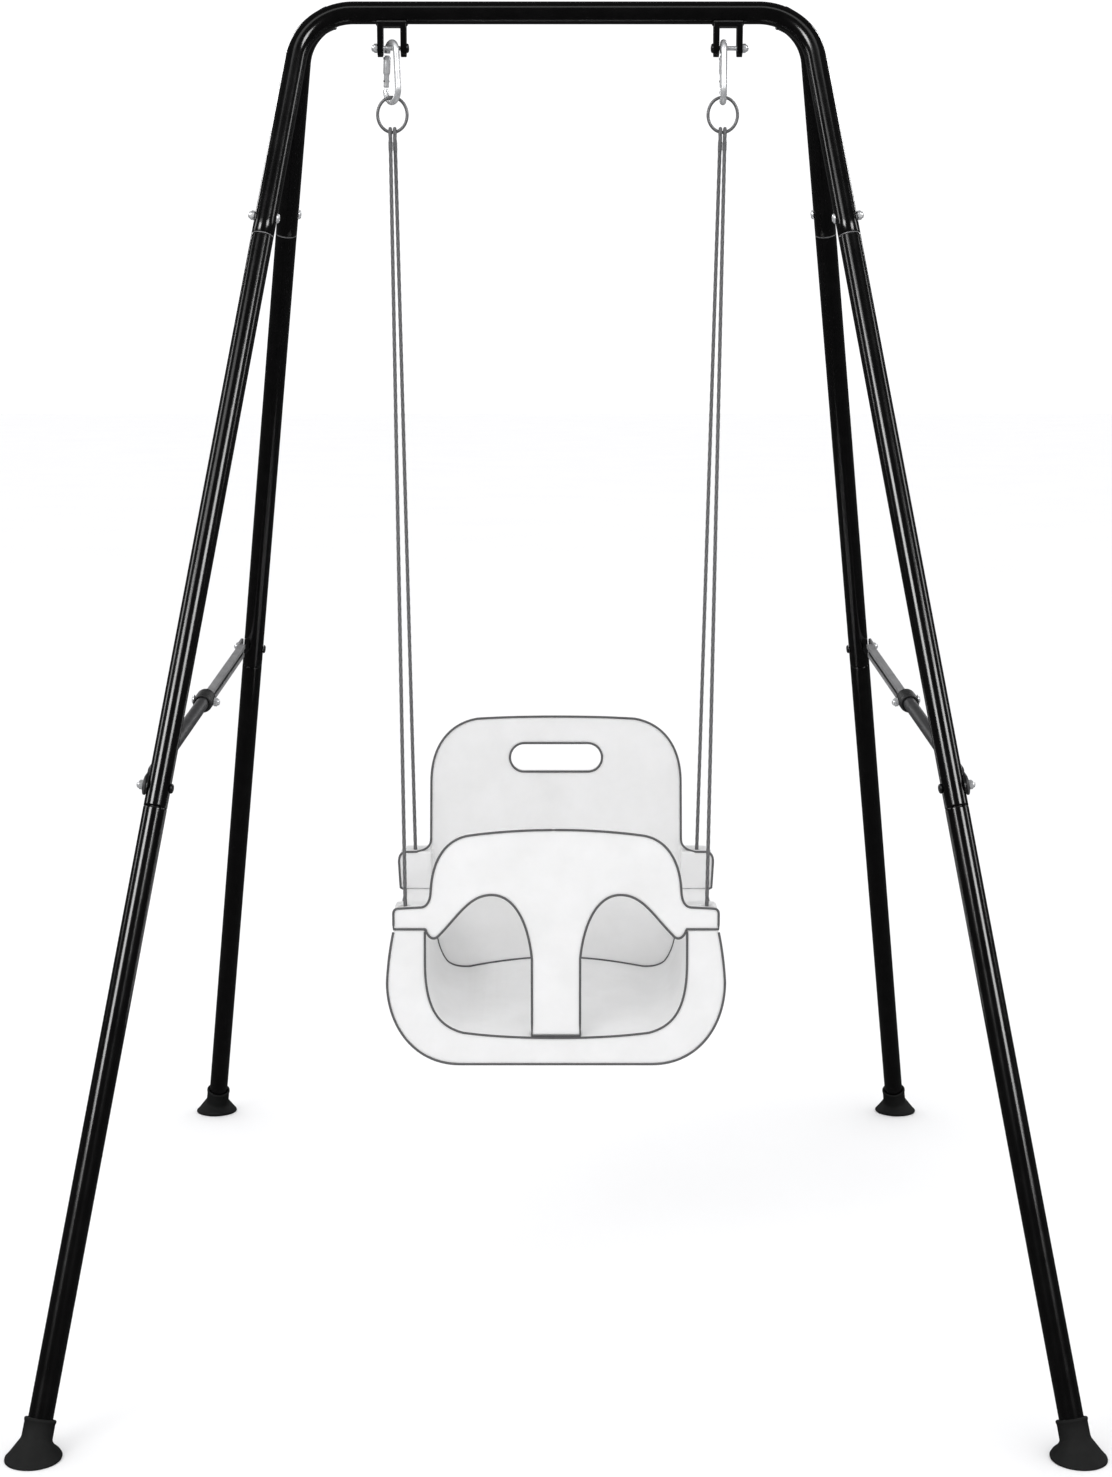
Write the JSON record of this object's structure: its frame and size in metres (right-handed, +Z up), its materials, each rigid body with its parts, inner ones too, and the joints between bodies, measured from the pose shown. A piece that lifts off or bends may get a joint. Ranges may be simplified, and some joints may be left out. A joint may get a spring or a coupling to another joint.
{
  "type": "swing set",
  "caption": "Free-standing steel-tube A-frame swing stand with a moulded toddler bucket seat hung on ropes, rings and snap hooks.",
  "frame": {"origin": "on the ground, midway between the four feet", "axes": "+Z up; +X to the right of someone who faces the front of the seat; the seat faces -Y"},
  "size_m": [1.231, 1.344, 1.6568],
  "materials": {
    "frame_paint": "gloss black powder coat",
    "brace_paint": "dark grey satin paint",
    "foot_rubber": "matt black rubber",
    "collar_plastic": "matt black moulded plastic",
    "zinc": "bright zinc plate",
    "ring_steel": "grey steel wire",
    "rope": "grey braided polyester",
    "seat_plastic": "white moulded polyethylene with a fine satin texture"
  },
  "bodies": {
    "stand": {"top_frame": "frame_paint", "left_front_middle_leg": "frame_paint", "left_front_lower_leg": "frame_paint", "left_front_foot": "foot_rubber", "left_front_upper_bolt": "zinc", "left_front_upper_nut": "zinc", "left_front_lower_bolt": "zinc", "left_front_lower_nut": "zinc", "left_rear_stub": "frame_paint", "left_rear_middle_leg": "frame_paint", "left_rear_lower_leg": "frame_paint", "left_rear_foot": "foot_rubber", "left_rear_upper_bolt": "zinc", "left_rear_upper_nut": "zinc", "left_rear_lower_bolt": "zinc", "left_rear_lower_nut": "zinc", "right_front_middle_leg": "frame_paint", "right_front_lower_leg": "frame_paint", "right_front_foot": "foot_rubber", "right_front_upper_bolt": "zinc", "right_front_upper_nut": "zinc", "right_front_lower_bolt": "zinc", "right_front_lower_nut": "zinc", "right_rear_stub": "frame_paint", "right_rear_middle_leg": "frame_paint", "right_rear_lower_leg": "frame_paint", "right_rear_foot": "foot_rubber", "right_rear_upper_bolt": "zinc", "right_rear_upper_nut": "zinc", "right_rear_lower_bolt": "zinc", "right_rear_lower_nut": "zinc", "left_brace_front_half": "brace_paint", "left_brace_rear_half": "brace_paint", "left_brace_collar": "collar_plastic", "left_brace_middle_bolt": "zinc", "left_brace_middle_nut": "zinc", "right_brace_front_half": "brace_paint", "right_brace_rear_half": "brace_paint", "right_brace_collar": "collar_plastic", "right_brace_middle_bolt": "zinc", "right_brace_middle_nut": "zinc", "left_bracket": "frame_paint", "left_hanger_bolt": "zinc", "left_hanger_nut": "zinc", "right_bracket": "frame_paint", "right_hanger_bolt": "zinc", "right_hanger_nut": "zinc"},
    "left_hook": {"left_snap_hook": "zinc"},
    "left_gate": {"left_hook_gate": "zinc"},
    "right_hook": {"right_snap_hook": "zinc"},
    "right_gate": {"right_hook_gate": "zinc"},
    "seat": {"left_ring": "ring_steel", "right_ring": "ring_steel", "left_front_rope": "rope", "left_rear_rope": "rope", "right_front_rope": "rope", "right_rear_rope": "rope", "seat_base": "seat_plastic", "seat_back": "seat_plastic"},
    "guard": {"seat_guard": "seat_plastic"}
  },
  "joints": [
    {"name": "left_hook_swing", "type": "hinge", "parent": "stand", "child": "left_hook", "pos_m": [-0.2085, 0, 1.5995], "axis": [1, 0, 0], "range_deg": [-40, 40]},
    {"name": "right_hook_swing", "type": "hinge", "parent": "stand", "child": "right_hook", "pos_m": [0.2125, 0, 1.5995], "axis": [1, 0, 0], "range_deg": [-40, 40]},
    {"name": "seat_swing", "type": "hinge", "parent": "left_hook", "child": "seat", "pos_m": [-0.2085, 0, 1.5371], "axis": [1, 0, 0], "range_deg": [-15, 15]},
    {"name": "guard_lift", "type": "slide", "parent": "seat", "child": "guard", "axis": [0, 0.1315, 0.9913], "range_m": [0, 0.2]},
    {"name": "left_gate_open", "type": "hinge", "parent": "left_hook", "child": "left_gate", "pos_m": [-0.21509, 0.01054, 1.5899], "axis": [-0.848, -0.5299, 0], "range_deg": [0, 20], "stiffness_Nm_per_rad": 0.4, "springref_deg": -11.46},
    {"name": "right_gate_open", "type": "hinge", "parent": "right_hook", "child": "right_gate", "pos_m": [0.2125, 0.01243, 1.5899], "axis": [-1, 0, 0], "range_deg": [0, 20], "stiffness_Nm_per_rad": 0.4, "springref_deg": -11.46}
  ],
  "couplings": [
    {"joint": "right_hook_swing", "follows": "left_hook_swing", "ratio": 1}
  ]
}
